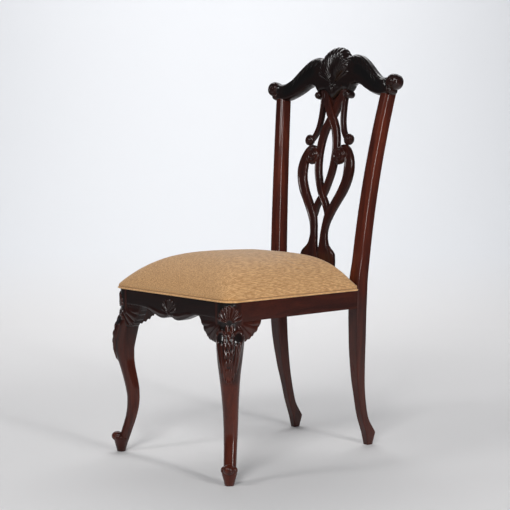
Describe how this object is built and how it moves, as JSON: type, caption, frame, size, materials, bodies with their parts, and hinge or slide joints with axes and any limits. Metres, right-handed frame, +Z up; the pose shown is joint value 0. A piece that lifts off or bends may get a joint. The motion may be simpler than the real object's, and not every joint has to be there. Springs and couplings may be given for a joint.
{
  "type": "side chair",
  "caption": "Carved mahogany side chair with a pierced strapwork splat, serpentine crest rail, cabriole front legs on scroll feet and a crowned upholstered seat.",
  "frame": {"origin": "on the floor, under the middle of the chair's bounding box", "axes": "+Z up; the chair faces -Y, and +X is on the viewer's right as seen from the front"},
  "size_m": [0.467, 0.573, 1.0017],
  "materials": {
    "mahogany": "gloss lacquer",
    "block_wood": "raw",
    "plywood": "raw",
    "foam": "open cell",
    "upholstery": "ribbed chenille",
    "dust_cloth": "non-woven",
    "screw_steel": "zinc"
  },
  "bodies": {
    "root": {"left_back_post": "mahogany", "right_back_post": "mahogany", "crest_rail": "mahogany", "splat": "mahogany", "splat_shoe": "mahogany", "rear_seat_rail": "mahogany", "left_side_rail": "mahogany", "right_side_rail": "mahogany", "front_seat_rail": "mahogany", "left_front_leg": "mahogany", "right_front_leg": "mahogany", "left_front_knee_block": "mahogany", "left_side_knee_block": "mahogany", "right_front_knee_block": "mahogany", "right_side_knee_block": "mahogany", "front_left_corner_block": "block_wood", "front_right_corner_block": "block_wood", "rear_left_corner_block": "block_wood", "rear_right_corner_block": "block_wood", "corner_block_screws": "screw_steel", "seat_screws": "screw_steel", "seat_board": "plywood", "seat_foam": "foam", "seat_cover": "upholstery", "seat_dust_cover": "dust_cloth"}
  },
  "joints": []
}
